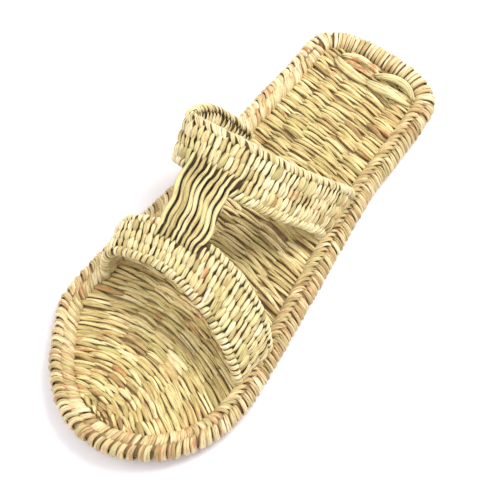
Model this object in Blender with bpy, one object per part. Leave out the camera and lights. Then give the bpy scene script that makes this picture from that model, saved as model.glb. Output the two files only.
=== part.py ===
"""Woven straw slide for the left foot, in metres, with +Y towards the toe and +X towards the inner ankle.

The sole lies on the plane z = 0. Every piece is built in sole coordinates, along from the back of the
heel and across from the centre line, and moved at the end so that the origin is under the middle.
"""
import math

import bmesh
import bpy
import numpy as np

# Outline of the sole
LENGTH = 0.265
HEEL_WIDTH = 0.078
WAIST_WIDTH = 0.0800
BALL_WIDTH = 0.1050
HEEL_ROUNDING = 0.024
HEEL_SQUARENESS = 2.5
TOE_ROUNDING = 0.058
TOE_SQUARENESS = 2.0

# Sole and its frame
FOOTBED_THICKNESS = 0.0098
FRAME_WIDTH = 0.0125
FRAME_THICKNESS = 0.0132
ARCH_LIFT = 0.0010
TOE_SPRING = 0.0040
GAP = 0.0003
JOINT_CLEARANCE = 0.0011

# Weave
FOOTBED_FLOAT = 0.0042
FOOTBED_RELIEF = 0.0011
ROPE_WRAP = 0.0044
ROPE_RELIEF = 0.0009
BINDING_WRAP = 0.0028
BINDING_RELIEF = 0.0006
STRAP_FLOAT = 0.0040
STRAP_RELIEF = 0.0013
WARPS_IN_FOOTBED = 4
WARPS_IN_STRAP = 3
STRANDS_IN_BAR = 9
ROPE_SIDES = 8

# Where the frame's corners and the curves of the rows begin, as shares of the rounding they lie in
BINDING_CORNER = 0.75
ROW_CORNER = 0.42

# Rows of the footbed, as shares of its length: the toe's bow grows from the first, the heel's ends at the second
TOE_BOW_FROM = 0.25
TOE_BOW_GROWTH = 1.6
HEEL_BOW_TO = 0.06

# Upper
REAR_STRAP_AT = 0.101
REAR_STRAP_WIDTH = 0.0335
REAR_STRAP_HEIGHT = 0.050
FRONT_STRAP_AT = 0.186
FRONT_STRAP_WIDTH = 0.026
FRONT_STRAP_HEIGHT = 0.0355
STRAP_THICKNESS = 0.0052
BAR_WIDTH = 0.0245
BAR_THICKNESS = 0.0048
BAR_SINK = 0.006

# Heel plait
PLAIT_END_CLEARANCE = 0.0035
PLAIT_WIDTH = 0.0155
PLAIT_STRAND = 0.0062
PLAIT_FLATNESS = 0.65
PLAIT_CROSSING = 0.22
PLAIT_TIP = 0.55
PLAIT_STRANDS = 3
PLAIT_TURNS = 1.0
PLAIT_SETBACK = 0.0005

# Fineness of the curves
OUTLINE_POINTS = 720
PATH_POINTS = 300
STEPS_BETWEEN_ROWS = 24
STEPS_BETWEEN_RINGS = 8
BAR_SECTIONS = 5
PLAIT_SECTIONS = 17
PLAIT_SIDES = 6
ROUND_FROM = math.radians(50)

# Places across a strap, as shares of its width, of the plain side that lies on the foot
LINING = (0.86, 0.5, 0.14)

# Half widths of the sole: along is a share of LENGTH, inner and outer are shares of the size beside them
SIDES = (
    # along, size, inner, outer
    (0.00, HEEL_WIDTH, 0.500, 0.495),
    (0.10, HEEL_WIDTH, 0.500, 0.497),
    (0.20, WAIST_WIDTH, 0.505, 0.485),
    (0.28, WAIST_WIDTH, 0.524, 0.476),
    (0.37, WAIST_WIDTH, 0.541, 0.499),
    (0.49, BALL_WIDTH, 0.437, 0.411),
    (0.60, BALL_WIDTH, 0.476, 0.439),
    (0.69, BALL_WIDTH, 0.507, 0.461),
    (0.78, BALL_WIDTH, 0.521, 0.476),
    (0.89, BALL_WIDTH, 0.470, 0.478),
    (1.00, BALL_WIDTH, 0.445, 0.468),
)

# Lift of the underside off the floor: along is a share of LENGTH, arch and toe are shares of their lifts
LIFT = (
    # along, arch, toe
    (0.00, 0.0, 0.0),
    (0.28, 0.0, 0.0),
    (0.42, 1.0, 0.0),
    (0.56, 0.0, 0.0),
    (0.80, 0.0, 0.0),
    (0.90, 0.0, 0.35),
    (1.00, 0.0, 1.0),
)

# Middle of each strap's wall along its back and front edges, from the outer side of the foot over the
# instep to its inner side. across is a share of the sole's half width at the strap, forward of the strap's
# width from its middle, and height of its height over the footbed.
REAR_STRAP = (
    # back: across, forward, height; front: across, forward, height
    (-0.726, -0.492, 0.00, -0.726, 0.507, 0.00),
    (-0.711, -0.403, 0.16, -0.685, 0.552, 0.12),
    (-0.609, -0.194, 0.36, -0.571, 0.716, 0.30),
    (-0.431, 0.030, 0.55, -0.393, 0.910, 0.46),
    (-0.178, 0.254, 0.74, -0.102, 1.104, 0.63),
    (0.117, 0.418, 0.89, 0.199, 1.254, 0.76),
    (0.422, 0.522, 0.98, 0.492, 1.313, 0.82),
    (0.760, 0.582, 1.00, 0.760, 1.269, 0.79),
    (1.030, 0.552, 0.95, 0.935, 1.149, 0.65),
    (1.105, 0.328, 0.82, 0.950, 1.030, 0.51),
    (1.030, -0.045, 0.58, 0.890, 0.776, 0.31),
    (0.840, -0.299, 0.28, 0.775, 0.567, 0.12),
    (0.691, -0.463, 0.00, 0.691, 0.507, 0.00),
)
FRONT_STRAP = (
    # back: across, forward, height; front: across, forward, height
    (-0.835, -0.308, 0.00, -0.783, 0.681, 0.00),
    (-0.810, -0.365, 0.23, -0.743, 0.673, 0.17),
    (-0.699, -0.500, 0.48, -0.616, 0.538, 0.37),
    (-0.532, -0.615, 0.68, -0.438, 0.404, 0.54),
    (-0.303, -0.731, 0.83, -0.219, 0.242, 0.66),
    (0.019, -0.808, 0.96, 0.076, 0.115, 0.76),
    (0.303, -0.777, 1.00, 0.322, 0.058, 0.79),
    (0.568, -0.685, 0.96, 0.559, 0.135, 0.75),
    (0.758, -0.596, 0.82, 0.729, 0.192, 0.62),
    (0.833, -0.538, 0.59, 0.805, 0.250, 0.39),
    (0.824, -0.519, 0.28, 0.814, 0.308, 0.17),
    (0.805, -0.519, 0.00, 0.795, 0.346, 0.00),
)

# Ends of the bar, from the middle of the sole: across is a share of BAR_WIDTH
BAR_REAR_MIDDLE = 0.89
BAR_FRONT_MIDDLE = 0.67

STRAW = {
    # colour, roughness
    "sole": ((0.50, 0.42, 0.20), 0.75),
    "edge_rope": ((0.58, 0.48, 0.26), 0.70),
    "heel_binding": ((0.62, 0.54, 0.30), 0.70),
    "heel_braid": ((0.56, 0.52, 0.28), 0.68),
    "upper": ((0.72, 0.62, 0.38), 0.68),
}


def smooth_table(rows, key, column):
    """Read a column of a table at key, on a curve that never overshoots its rows."""
    keys = [row[0] for row in rows]
    values = [column(row) for row in rows]
    if key <= keys[0]:
        return values[0]
    if key >= keys[-1]:
        return values[-1]
    at = max(i for i, start in enumerate(keys) if start <= key)
    at = min(at, len(keys) - 2)
    slopes = [(values[i + 1] - values[i]) / (keys[i + 1] - keys[i]) for i in range(len(keys) - 1)]

    def slope(i):
        if i == 0:
            return slopes[0]
        if i == len(keys) - 1:
            return slopes[-1]
        if slopes[i - 1] * slopes[i] <= 0:
            return 0.0
        return 2 * slopes[i - 1] * slopes[i] / (slopes[i - 1] + slopes[i])

    span = keys[at + 1] - keys[at]
    t = (key - keys[at]) / span
    h00 = 2 * t**3 - 3 * t**2 + 1
    h10 = t**3 - 2 * t**2 + t
    h01 = -2 * t**3 + 3 * t**2
    h11 = t**3 - t**2
    return (
        h00 * values[at]
        + h10 * span * slope(at)
        + h01 * values[at + 1]
        + h11 * span * slope(at + 1)
    )


def end_rounding(along):
    """Share of the half width left at a distance along the sole, less than one at its round ends."""
    if along < HEEL_ROUNDING:
        reach, power = (HEEL_ROUNDING - along) / HEEL_ROUNDING, HEEL_SQUARENESS
    elif along > LENGTH - TOE_ROUNDING:
        reach, power = (along - LENGTH + TOE_ROUNDING) / TOE_ROUNDING, TOE_SQUARENESS
    else:
        return 1.0
    return max(0.0, 1.0 - min(1.0, reach) ** power) ** (1.0 / power)


def side_reach(along, side):
    """Distance from the centre line to the sole's edge, side +1 inner and -1 outer."""
    column = 2 if side > 0 else 3
    half = smooth_table(SIDES, along / LENGTH, lambda row: row[1] * row[column])
    return half * end_rounding(along)


def floor_lift(along):
    """Height of the underside over the floor."""
    return smooth_table(LIFT, along / LENGTH, lambda row: row[1] * ARCH_LIFT + row[2] * TOE_SPRING)


def resample(points, count, closed=False):
    """Points evenly spaced along a polyline."""
    points = np.asarray(points, dtype=float)
    if closed:
        points = np.vstack([points, points[:1]])
    steps = np.linalg.norm(np.diff(points, axis=0), axis=1)
    reach = np.concatenate([[0.0], np.cumsum(steps)])
    marks = np.linspace(0.0, reach[-1], count + 1 if closed else count)
    if closed:
        marks = marks[:-1]
    return np.column_stack([np.interp(marks, reach, points[:, i]) for i in range(points.shape[1])])


def path_length(points):
    """Length of a polyline."""
    return float(np.sum(np.linalg.norm(np.diff(np.asarray(points), axis=0), axis=1)))


def sole_outline(count=OUTLINE_POINTS):
    """Closed outline in (across, along), from the heel's middle up the inner side and back down the outer."""
    turns = np.linspace(0.0, math.pi, count)
    alongs = LENGTH * (1 - np.cos(turns)) / 2
    inner = [(side_reach(a, 1), a) for a in alongs]
    outer = [(-side_reach(a, -1), a) for a in alongs[::-1]]
    return resample(np.array(inner + outer[1:-1]), count, closed=True)


def inset(outline, distance):
    """Outline moved inwards by a distance."""
    ahead = np.roll(outline, -1, axis=0) - np.roll(outline, 1, axis=0)
    ahead /= np.linalg.norm(ahead, axis=1)[:, None]
    inwards = np.column_stack([-ahead[:, 1], ahead[:, 0]])
    return outline + inwards * distance


def stretch(outline, start, end, count):
    """Part of a closed outline, between two shares of the way round it."""
    size = len(outline)
    reach = np.linspace(start, end, PATH_POINTS) * size
    low = np.floor(reach).astype(int)
    part = (reach - low)[:, None]
    points = outline[low % size] * (1 - part) + outline[(low + 1) % size] * part
    return resample(points, count)


def share_at(outline, along, side):
    """How far round the outline, as a share, its inner or outer side passes a distance along the sole."""
    size = len(outline)
    half = range(0, size // 2) if side > 0 else range(size // 2, size)
    best = min(half, key=lambda i: abs(outline[i][1] - along))
    return best / size


def add_mesh(name, vertices, faces):
    """Object with its own straw material, closed and with its faces pointing out."""
    mesh = bpy.data.meshes.new(name)
    mesh.from_pydata([tuple(map(float, v)) for v in vertices], [], faces)
    shape = bmesh.new()
    shape.from_mesh(mesh)
    bmesh.ops.recalc_face_normals(shape, faces=shape.faces)
    if shape.calc_volume(signed=True) < 0:
        bmesh.ops.reverse_faces(shape, faces=shape.faces)
    shape.to_mesh(mesh)
    shape.free()
    piece = bpy.data.objects.new(name, mesh)
    bpy.context.collection.objects.link(piece)
    if name in STRAW:
        colour, roughness = STRAW[name]
        straw = bpy.data.materials.new(name)
        straw.use_nodes = True
        shader = straw.node_tree.nodes["Principled BSDF"]
        shader.inputs["Base Color"].default_value = (*colour, 1.0)
        shader.inputs["Roughness"].default_value = roughness
        shader.inputs["Metallic"].default_value = 0.0
        mesh.materials.append(straw)
        mesh.shade_smooth()
        mesh.set_sharp_from_angle(angle=ROUND_FROM)
    return piece


def loft(name, rings):
    """Closed tube through rings of equal size, with a flat cap at each end."""
    size = len(rings[0])
    vertices = [point for ring in rings for point in ring]
    faces = []
    for i in range(len(rings) - 1):
        for j in range(size):
            k = (j + 1) % size
            faces.append((i * size + j, i * size + k, (i + 1) * size + k, (i + 1) * size + j))
    faces.append(tuple(range(size)))
    faces.append(tuple(range((len(rings) - 1) * size, len(rings) * size)))
    return add_mesh(name, vertices, faces)


def wrapped_rope(name, path, width, thickness, wrap, relief, sides, drop=0.0):
    """Rope lying on the floor along a flat path, its wraps standing out as ribs."""
    count = 2 * max(2, round(path_length(path) / wrap)) + 1
    path = resample(path, STEPS_BETWEEN_RINGS * (count - 1) + 1)
    rings = []
    for i in range(count):
        at = STEPS_BETWEEN_RINGS * i
        across, along = path[at]
        ahead = path[min(at + 1, len(path) - 1)] - path[max(at - 1, 0)]
        ahead /= np.linalg.norm(ahead)
        aside = np.array([ahead[1], -ahead[0]])
        trim = 0.0 if i % 2 else relief
        base = floor_lift(along) + GAP + drop
        ring = []
        for j in range(sides):
            turn = 2 * math.pi * (j + 0.5) / sides
            out = (width / 2 - trim) * math.cos(turn) / math.cos(math.pi / sides)
            up = (thickness / 2 - trim) * math.sin(turn) / math.cos(math.pi / sides)
            point = np.array([across, along]) + aside * out
            ring.append((point[0], point[1], base + thickness / 2 + up))
        rings.append(ring)
    return loft(name, rings)


def build_frame_rope(outline, heel_inner, heel_outer):
    """Rope round the toe and both sides, between the corners of the heel."""
    path = stretch(inset(outline, FRAME_WIDTH / 2), heel_inner, heel_outer, PATH_POINTS)
    return wrapped_rope("edge_rope", path, FRAME_WIDTH, FRAME_THICKNESS, ROPE_WRAP, ROPE_RELIEF, ROPE_SIDES)


def build_heel_binding(outline, heel_inner, heel_outer):
    """Binding across the heel, which starts and ends a gap away from the ends of the rope."""
    clear = JOINT_CLEARANCE / path_length(outline)
    path = stretch(inset(outline, FRAME_WIDTH / 2), heel_outer - 1 + clear, heel_inner - clear, PATH_POINTS)
    return wrapped_rope(
        "heel_binding", path, FRAME_WIDTH, FRAME_THICKNESS, BINDING_WRAP, BINDING_RELIEF, ROPE_SIDES
    )


def footbed_edge(outline):
    """Edge of the slab, a gap inside the widest part of the frame."""
    return inset(outline, FRAME_WIDTH + GAP)


def footbed_rows(outline, rows, columns):
    """Grid of the footbed: straight rows at the heel that bow into the curve of the toe."""
    edge = footbed_edge(outline)
    heel_along = FRAME_WIDTH + HEEL_ROUNDING * ROW_CORNER
    toe_along = LENGTH - TOE_ROUNDING * ROW_CORNER
    inner_heel = share_at(edge, heel_along, 1)
    outer_heel = share_at(edge, heel_along, -1)
    inner_toe = share_at(edge, toe_along, 1)
    outer_toe = share_at(edge, toe_along, -1)
    inner = stretch(edge, inner_heel, inner_toe, rows)
    outer = stretch(edge, outer_heel, outer_toe, rows)
    toe_row = stretch(edge, outer_toe, inner_toe, columns)
    heel_row = stretch(edge, outer_heel - 1, inner_heel, columns)
    spread = np.linspace(0.0, 1.0, columns)[:, None]
    toe_bow = toe_row - (outer[-1] + (inner[-1] - outer[-1]) * spread)
    heel_bow = heel_row - (outer[0] + (inner[0] - outer[0]) * spread)
    grid = []
    for i in range(rows):
        share = i / (rows - 1)
        chord = outer[i] + (inner[i] - outer[i]) * spread
        toe_part = max(0.0, (share - TOE_BOW_FROM) / (1 - TOE_BOW_FROM)) ** TOE_BOW_GROWTH
        heel_part = max(0.0, 1.0 - share / HEEL_BOW_TO)
        grid.append(chord + toe_bow * toe_part + heel_bow * heel_part)
    return grid


def build_sole(outline):
    """Slab of wefts over lengthwise warps: a float stands out where a weft passes over a warp."""
    length = LENGTH - 2 * FRAME_WIDTH
    rows = 2 * round(length / FOOTBED_FLOAT) + 1
    columns = 2 * WARPS_IN_FOOTBED + 1
    grid = footbed_rows(outline, rows, columns)
    vertices = []
    for i, row in enumerate(grid):
        for j, (across, along) in enumerate(row):
            middle = j % 2 == 1
            raised = middle and (i + (j - 1) // 2) % 2 == 0
            level = FOOTBED_THICKNESS - (0.0 if raised else FOOTBED_RELIEF)
            vertices.append((across, along, level + floor_lift(along)))
    faces = []
    for i in range(rows - 1):
        for j in range(columns - 1):
            a = i * columns + j
            faces.append((a, a + 1, a + columns + 1, a + columns))
    top = len(vertices)
    rim = [j for j in range(columns)]
    rim += [i * columns + columns - 1 for i in range(1, rows)]
    rim += [(rows - 1) * columns + j for j in range(columns - 2, -1, -1)]
    rim += [i * columns for i in range(rows - 2, 0, -1)]
    for index in rim:
        across, along, _ = vertices[index]
        vertices.append((across, along, floor_lift(along)))
    size = len(rim)
    for k in range(size):
        m = (k + 1) % size
        faces.append((rim[k], rim[m], top + m, top + k))
    low = {index: top + k for k, index in enumerate(rim)}
    for i in range(rows - 1):
        left, right = low[i * columns], low[i * columns + columns - 1]
        next_left, next_right = low[(i + 1) * columns], low[(i + 1) * columns + columns - 1]
        if i == 0:
            faces.append(tuple(low[j] for j in range(columns)) + (next_right, next_left))
        elif i == rows - 2:
            last = tuple(low[(rows - 1) * columns + j] for j in range(columns - 1, -1, -1))
            faces.append((left, right) + last)
        else:
            faces.append((left, right, next_right, next_left))
    return add_mesh("sole", vertices, faces)


def curve_through(knots, steps):
    """Smooth curve through rows of numbers, with a fixed number of steps between rows."""
    ends = np.vstack([knots[:1], knots, knots[-1:]])
    curve = []
    for i in range(len(knots) - 1):
        p0, p1, p2, p3 = ends[i], ends[i + 1], ends[i + 2], ends[i + 3]
        for t in np.linspace(0.0, 1.0, steps, endpoint=False):
            bend = (2 * p0 - 5 * p1 + 4 * p2 - p3) * t**2 + (3 * p1 - p0 - 3 * p2 + p3) * t**3
            curve.append(0.5 * (2 * p1 + (p2 - p0) * t + bend))
    curve.append(knots[-1])
    return np.array(curve)


def strap_edges(table, at, width, height):
    """Evenly spaced stations along a strap, each with its back and front edge point."""
    knots = []
    for row in table:
        knot = []
        for across, forward, up in (row[:3], row[3:]):
            along = at + forward * width
            reach = side_reach(at, 1 if across > 0 else -1)
            base = FOOTBED_THICKNESS + GAP + floor_lift(along)
            knot += [across * reach, along, base + up * height]
        knots.append(knot)
    curve = curve_through(np.array(knots), STEPS_BETWEEN_ROWS)
    middle = (curve[:, :3] + curve[:, 3:]) / 2
    reach = np.concatenate([[0.0], np.cumsum(np.linalg.norm(np.diff(middle, axis=0), axis=1))])
    count = 2 * round(reach[-1] / STRAP_FLOAT) + 1
    marks = np.linspace(0.0, reach[-1], count)
    return np.column_stack([np.interp(marks, reach, curve[:, i]) for i in range(6)])


def build_strap(name, edges):
    """Woven strap of lengthwise floats over its warps, rolled at both edges."""
    count = len(edges)
    middle = (edges[:, :3] + edges[:, 3:]) / 2
    half = STRAP_THICKNESS / 2
    columns = 2 * WARPS_IN_STRAP
    rings = []
    for i in range(count):
        back, front = edges[i, :3], edges[i, 3:]
        ahead = middle[min(i + 1, count - 1)] - middle[max(i - 1, 0)]
        if i in (0, count - 1):
            ahead = np.array([0.0, 0.0, 1.0 if i == 0 else -1.0])
        outwards = np.cross(ahead, front - back)
        outwards /= np.linalg.norm(outwards)
        ring = []
        for j in range(columns + 1):
            raised = j % 2 == 1 and (i + j // 2) % 2 == 0
            lift = half - (0.0 if raised else STRAP_RELIEF)
            if j in (0, columns):
                lift = 0.0
            ring.append(back + (front - back) * j / columns + outwards * lift)
        for place in LINING:
            ring.append(back + (front - back) * place - outwards * half)
        rings.append(ring)
    return loft(name, rings)


def edge_point(edge, across):
    """Point of a strap's edge over a place across the sole, on the upper part of its arch."""
    high = edge[edge[:, 2] > (edge[:, 2].max() + edge[:, 2].min()) / 2]
    order = np.argsort(high[:, 0])
    return np.array([np.interp(across, high[order, 0], high[order, i]) for i in range(3)])


def build_bar(rear, front):
    """Bar of lengthwise strands between the straps, sunk into both."""
    strands = 2 * STRANDS_IN_BAR
    lines = []
    for j in range(strands + 1):
        side = BAR_WIDTH * (j / strands - 0.5)
        start = edge_point(rear[:, 3:], BAR_REAR_MIDDLE * BAR_WIDTH + side)
        end = edge_point(front[:, :3], BAR_FRONT_MIDDLE * BAR_WIDTH + side)
        run = (end - start) / np.linalg.norm(end - start)
        lines.append((start - run * BAR_SINK, end + run * BAR_SINK))
    up = np.array([0.0, 0.0, 1.0])
    rings = []
    for share in np.linspace(0.0, 1.0, BAR_SECTIONS):
        row = [start + (end - start) * share for start, end in lines]
        ring = []
        for j, point in enumerate(row):
            ring.append(point + up * (BAR_THICKNESS / 2 - (0.0 if j % 2 else STRAP_RELIEF)))
        for j in (strands - 1, strands // 2, 1):
            ring.append(row[j] - up * BAR_THICKNESS / 2)
        rings.append(ring)
    return loft("bar_form", rings)


def join_forms(piece, form):
    """Boolean union that leaves the second shape out of the model."""
    union = piece.modifiers.new("join_" + form.name, "BOOLEAN")
    union.operation = "UNION"
    union.solver = "EXACT"
    union.object = form
    form.hide_render = True
    form.display_type = "WIRE"


def cut_away(piece, form):
    """Boolean difference with a shape that is left out of the model."""
    cut = piece.modifiers.new("clear_" + form.name, "BOOLEAN")
    cut.operation = "DIFFERENCE"
    cut.solver = "EXACT"
    cut.object = form
    form.hide_render = True
    form.display_type = "WIRE"


def build_upper(outline, heel_inner, heel_outer):
    """Both straps and the bar as one woven piece, its feet seated on the frame rope."""
    rear = strap_edges(REAR_STRAP, REAR_STRAP_AT, REAR_STRAP_WIDTH, REAR_STRAP_HEIGHT)
    front = strap_edges(FRONT_STRAP, FRONT_STRAP_AT, FRONT_STRAP_WIDTH, FRONT_STRAP_HEIGHT)
    upper = build_strap("upper", rear)
    join_forms(upper, build_bar(rear, front))
    join_forms(upper, build_strap("front_form", front))
    path = stretch(inset(outline, FRAME_WIDTH / 2), heel_inner, heel_outer, PATH_POINTS)
    grow = 2 * GAP
    seat = wrapped_rope(
        "seat_form", path, FRAME_WIDTH + grow, FRAME_THICKNESS + grow, ROPE_WRAP, 0.0, ROPE_SIDES, -grow / 2
    )
    cut_away(upper, seat)
    return upper


def build_heel_braid():
    """Flat plait of fat strands across the heel, on the footbed just inside the binding."""
    length = HEEL_WIDTH - 2 * (FRAME_WIDTH + PLAIT_END_CLEARANCE)
    start = FRAME_WIDTH + GAP + PLAIT_WIDTH / 2 + PLAIT_SETBACK
    swing = (PLAIT_WIDTH - PLAIT_STRAND) / 2
    flat = PLAIT_STRAND * PLAIT_FLATNESS
    hump = flat * PLAIT_CROSSING
    strands = []
    for strand in range(PLAIT_STRANDS):
        rings = []
        for share in np.linspace(0.0, 1.0, PLAIT_SECTIONS):
            turn = 2 * math.pi * (share * PLAIT_TURNS + strand / PLAIT_STRANDS)
            across = length * (share - 0.5)
            along = start + swing * math.sin(turn)
            up = FOOTBED_THICKNESS + GAP + flat / 2 + hump + hump * math.sin(2 * turn)
            slope = swing * math.cos(turn) * 2 * math.pi * PLAIT_TURNS / length
            ahead = np.array([1.0, slope]) / math.hypot(1.0, slope)
            size = PLAIT_TIP + (1 - PLAIT_TIP) * math.sqrt(max(0.0, math.sin(math.pi * share)))
            ring = []
            for j in range(PLAIT_SIDES):
                side = 2 * math.pi * j / PLAIT_SIDES
                out = PLAIT_STRAND / 2 * math.cos(side) * size
                rise = flat / 2 * math.sin(side) * size
                ring.append((across - ahead[1] * out, along + ahead[0] * out, up + rise))
            rings.append(ring)
        strands.append(loft("heel_braid" if strand == 0 else "plait_form_%d" % strand, rings))
    for form in strands[1:]:
        join_forms(strands[0], form)
    return strands[0]


def seat_on_origin():
    """Move every piece so that the origin is under the middle of the whole sandal."""
    bpy.context.view_layer.update()
    corners = []
    for piece in bpy.data.objects:
        if not piece.hide_render:
            shaped = piece.evaluated_get(bpy.context.evaluated_depsgraph_get())
            corners += [piece.matrix_world @ corner.co for corner in shaped.data.vertices]
    middle = [(min(c[i] for c in corners) + max(c[i] for c in corners)) / 2 for i in range(2)]
    floor = min(c[2] for c in corners)
    for piece in bpy.data.objects:
        piece.location = (-middle[0], -middle[1], -floor)


def main():
    for old in list(bpy.data.objects):
        bpy.data.objects.remove(old, do_unlink=True)
    outline = sole_outline()
    heel_along = HEEL_ROUNDING * BINDING_CORNER
    heel_inner = share_at(outline, heel_along, 1)
    heel_outer = share_at(outline, heel_along, -1)
    build_sole(outline)
    build_frame_rope(outline, heel_inner, heel_outer)
    build_heel_binding(outline, heel_inner, heel_outer)
    build_heel_braid()
    build_upper(outline, heel_inner, heel_outer)
    seat_on_origin()


main()
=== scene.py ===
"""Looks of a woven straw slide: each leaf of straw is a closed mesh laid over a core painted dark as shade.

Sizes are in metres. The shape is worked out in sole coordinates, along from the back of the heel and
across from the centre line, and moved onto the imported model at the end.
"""
import math

import bpy
import numpy as np
from mathutils import Matrix, Vector


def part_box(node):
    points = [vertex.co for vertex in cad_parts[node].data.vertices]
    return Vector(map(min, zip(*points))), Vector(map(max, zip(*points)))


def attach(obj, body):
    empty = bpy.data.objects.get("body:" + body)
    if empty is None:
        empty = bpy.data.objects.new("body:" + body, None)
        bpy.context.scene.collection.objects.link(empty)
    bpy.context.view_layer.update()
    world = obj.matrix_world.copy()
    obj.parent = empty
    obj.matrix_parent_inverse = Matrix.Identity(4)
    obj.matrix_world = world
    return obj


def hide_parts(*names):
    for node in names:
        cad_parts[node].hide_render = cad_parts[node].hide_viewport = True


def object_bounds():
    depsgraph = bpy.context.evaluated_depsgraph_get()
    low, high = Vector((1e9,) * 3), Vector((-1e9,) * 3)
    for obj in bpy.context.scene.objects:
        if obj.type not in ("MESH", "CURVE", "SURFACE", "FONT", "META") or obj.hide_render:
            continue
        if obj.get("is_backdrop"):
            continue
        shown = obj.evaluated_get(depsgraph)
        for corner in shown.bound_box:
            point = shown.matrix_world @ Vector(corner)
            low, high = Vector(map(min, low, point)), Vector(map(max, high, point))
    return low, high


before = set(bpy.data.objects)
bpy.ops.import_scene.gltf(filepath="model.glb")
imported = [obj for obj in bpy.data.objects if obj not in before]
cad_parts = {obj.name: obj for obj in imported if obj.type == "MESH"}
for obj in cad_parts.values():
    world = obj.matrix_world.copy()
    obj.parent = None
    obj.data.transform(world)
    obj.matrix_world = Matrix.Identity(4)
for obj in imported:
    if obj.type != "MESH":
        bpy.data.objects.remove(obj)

CAD_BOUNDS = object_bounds()

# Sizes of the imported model
LENGTH = 0.265
HEEL_WIDTH = 0.078
WAIST_WIDTH = 0.080
BALL_WIDTH = 0.105
HEEL_ROUNDING = 0.024
HEEL_SQUARENESS = 2.5
TOE_ROUNDING = 0.058
TOE_SQUARENESS = 2.0
FOOTBED_THICKNESS = 0.0098
FRAME_WIDTH = 0.0125
FRAME_THICKNESS = 0.0132
ARCH_LIFT = 0.0010
TOE_SPRING = 0.0040
GAP = 0.0003
BINDING_CORNER = 0.75
REAR_STRAP_AT = 0.101
REAR_STRAP_WIDTH = 0.0335
REAR_STRAP_HEIGHT = 0.050
FRONT_STRAP_AT = 0.186
FRONT_STRAP_WIDTH = 0.026
FRONT_STRAP_HEIGHT = 0.0355
BAR_WIDTH = 0.0245
BAR_REAR_MIDDLE = 0.89
BAR_FRONT_MIDDLE = 0.67
OUTLINE_POINTS = 720
PATH_POINTS = 1200
LIFT_POINTS = 266
STEPS_BETWEEN_ROWS = 24

# Half widths of the sole: along is a share of LENGTH, inner and outer are shares of the size beside them
SIDES = (
    # along, size, inner, outer
    (0.00, HEEL_WIDTH, 0.500, 0.495),
    (0.10, HEEL_WIDTH, 0.500, 0.497),
    (0.20, WAIST_WIDTH, 0.505, 0.485),
    (0.28, WAIST_WIDTH, 0.524, 0.476),
    (0.37, WAIST_WIDTH, 0.541, 0.499),
    (0.49, BALL_WIDTH, 0.437, 0.411),
    (0.60, BALL_WIDTH, 0.476, 0.439),
    (0.69, BALL_WIDTH, 0.507, 0.461),
    (0.78, BALL_WIDTH, 0.521, 0.476),
    (0.89, BALL_WIDTH, 0.470, 0.478),
    (1.00, BALL_WIDTH, 0.445, 0.468),
)
LIFT = (
    # along, arch, toe
    (0.00, 0.0, 0.0),
    (0.28, 0.0, 0.0),
    (0.42, 1.0, 0.0),
    (0.56, 0.0, 0.0),
    (0.80, 0.0, 0.0),
    (0.90, 0.0, 0.35),
    (1.00, 0.0, 1.0),
)
REAR_STRAP = (
    # back: across, forward, height; front: across, forward, height
    (-0.726, -0.492, 0.00, -0.726, 0.507, 0.00),
    (-0.711, -0.403, 0.16, -0.685, 0.552, 0.12),
    (-0.609, -0.194, 0.36, -0.571, 0.716, 0.30),
    (-0.431, 0.030, 0.55, -0.393, 0.910, 0.46),
    (-0.178, 0.254, 0.74, -0.102, 1.104, 0.63),
    (0.117, 0.418, 0.89, 0.199, 1.254, 0.76),
    (0.422, 0.522, 0.98, 0.492, 1.313, 0.82),
    (0.760, 0.582, 1.00, 0.760, 1.269, 0.79),
    (1.030, 0.552, 0.95, 0.935, 1.149, 0.65),
    (1.105, 0.328, 0.82, 0.950, 1.030, 0.51),
    (1.030, -0.045, 0.58, 0.890, 0.776, 0.31),
    (0.840, -0.299, 0.28, 0.775, 0.567, 0.12),
    (0.691, -0.463, 0.00, 0.691, 0.507, 0.00),
)
FRONT_STRAP = (
    # back: across, forward, height; front: across, forward, height
    (-0.835, -0.308, 0.00, -0.783, 0.681, 0.00),
    (-0.810, -0.365, 0.23, -0.743, 0.673, 0.17),
    (-0.699, -0.500, 0.48, -0.616, 0.538, 0.37),
    (-0.532, -0.615, 0.68, -0.438, 0.404, 0.54),
    (-0.303, -0.731, 0.83, -0.219, 0.242, 0.66),
    (0.019, -0.808, 0.96, 0.076, 0.115, 0.76),
    (0.303, -0.777, 1.00, 0.322, 0.058, 0.79),
    (0.568, -0.685, 0.96, 0.559, 0.135, 0.75),
    (0.758, -0.596, 0.82, 0.729, 0.192, 0.62),
    (0.833, -0.538, 0.59, 0.805, 0.250, 0.39),
    (0.824, -0.519, 0.28, 0.814, 0.308, 0.17),
    (0.805, -0.519, 0.00, 0.795, 0.346, 0.00),
)

# Camera of the photo: it looks at a point on the floor between the pair, and is turned to this one
PHOTO_AZIMUTH = math.radians(143.8)
PHOTO_ELEVATION = math.radians(60.45)
PHOTO_DISTANCE = 0.6687
PHOTO_AIM = Vector((0.0637, 0.0098, 0.0))
SANDAL_AIM = Vector((-0.0089, 0.0114, 0.0150))
SENSOR = 36.0
LENS = 96.0

# Seeds of the random draws
FOOTBED_SEED = 11
ROPE_SEED = 23
BINDING_SEED = 31
PLAIT_SEED = 41
UPPER_SEED = 53
BAR_SEED = 59

LEAF_SIDES = 6
# Dark cores take their colour from their material alone, which paints shade into the gaps between leaves
CORE_TONE = [(0, 0, 0)]
# Leaves of a cord, as shares of its radius: depth and fall towards the sides of the cord
LEAF_DEPTH = 0.50
LEAF_DROP = 0.50
LEAF_TILT = 3.5
LEAF_FAN = 0.8
LEAF_LAP = 0.7
LEAF_TAPER = (0.45, 0.45)
# Millimetres over which the ends of a leaf are shaded
END_SHADE = 1.9
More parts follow.
